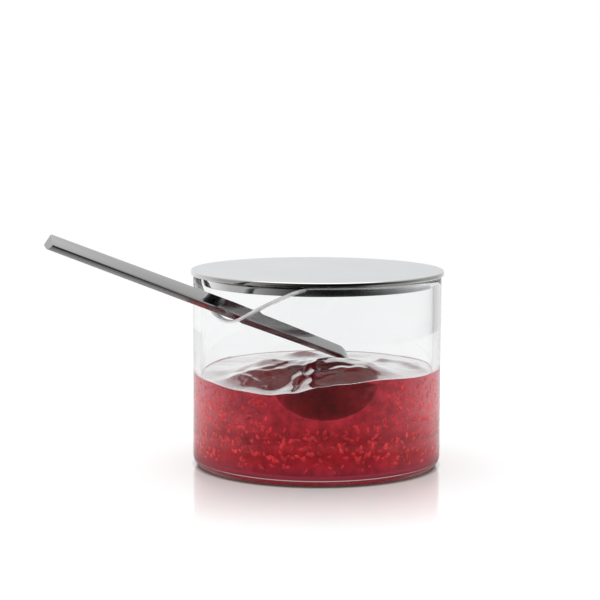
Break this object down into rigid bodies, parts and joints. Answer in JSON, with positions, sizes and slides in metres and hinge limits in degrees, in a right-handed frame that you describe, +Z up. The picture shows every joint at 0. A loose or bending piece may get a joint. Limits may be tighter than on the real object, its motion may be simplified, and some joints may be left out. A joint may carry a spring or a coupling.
{
  "type": "jam pot",
  "caption": "Clear glass jam pot with a dipped rim, a flat steel drop-in lid and a ridged steel spoon that tips on the dip while its cup hangs in the jam.",
  "frame": {"origin": "centre of the pot's flat underside, on the axis of the glass", "axes": "+Z up along the axis of the glass; the dip in the rim and the spoon's handle point to -X; Y across the handle"},
  "size_m": [0.1829, 0.1, 0.0986],
  "materials": {
    "clear_glass": "clear, fire polished",
    "jam": "wet, seeded",
    "brushed_lid": "fine straight brushing",
    "polished_steel": "polished stainless steel"
  },
  "bodies": {
    "pot": {"glass_pot": "clear_glass", "jam_filling": "jam"},
    "lid": {"lid_plate": "brushed_lid", "lid_skirt": "polished_steel"},
    "spoon": {"spoon_handle": "polished_steel", "spoon_cup": "polished_steel"}
  },
  "joints": [
    {"name": "lid_lift", "type": "slide", "parent": "pot", "child": "lid", "axis": [0, 0, 1], "range_m": [0, 0.08]},
    {"name": "spoon_tip", "type": "hinge", "parent": "pot", "child": "spoon", "pos_m": [-0.04714, 0, 0.06006], "axis": [0, -1, 0], "range_deg": [-10, 20], "deforming": ["jam_filling"]}
  ]
}
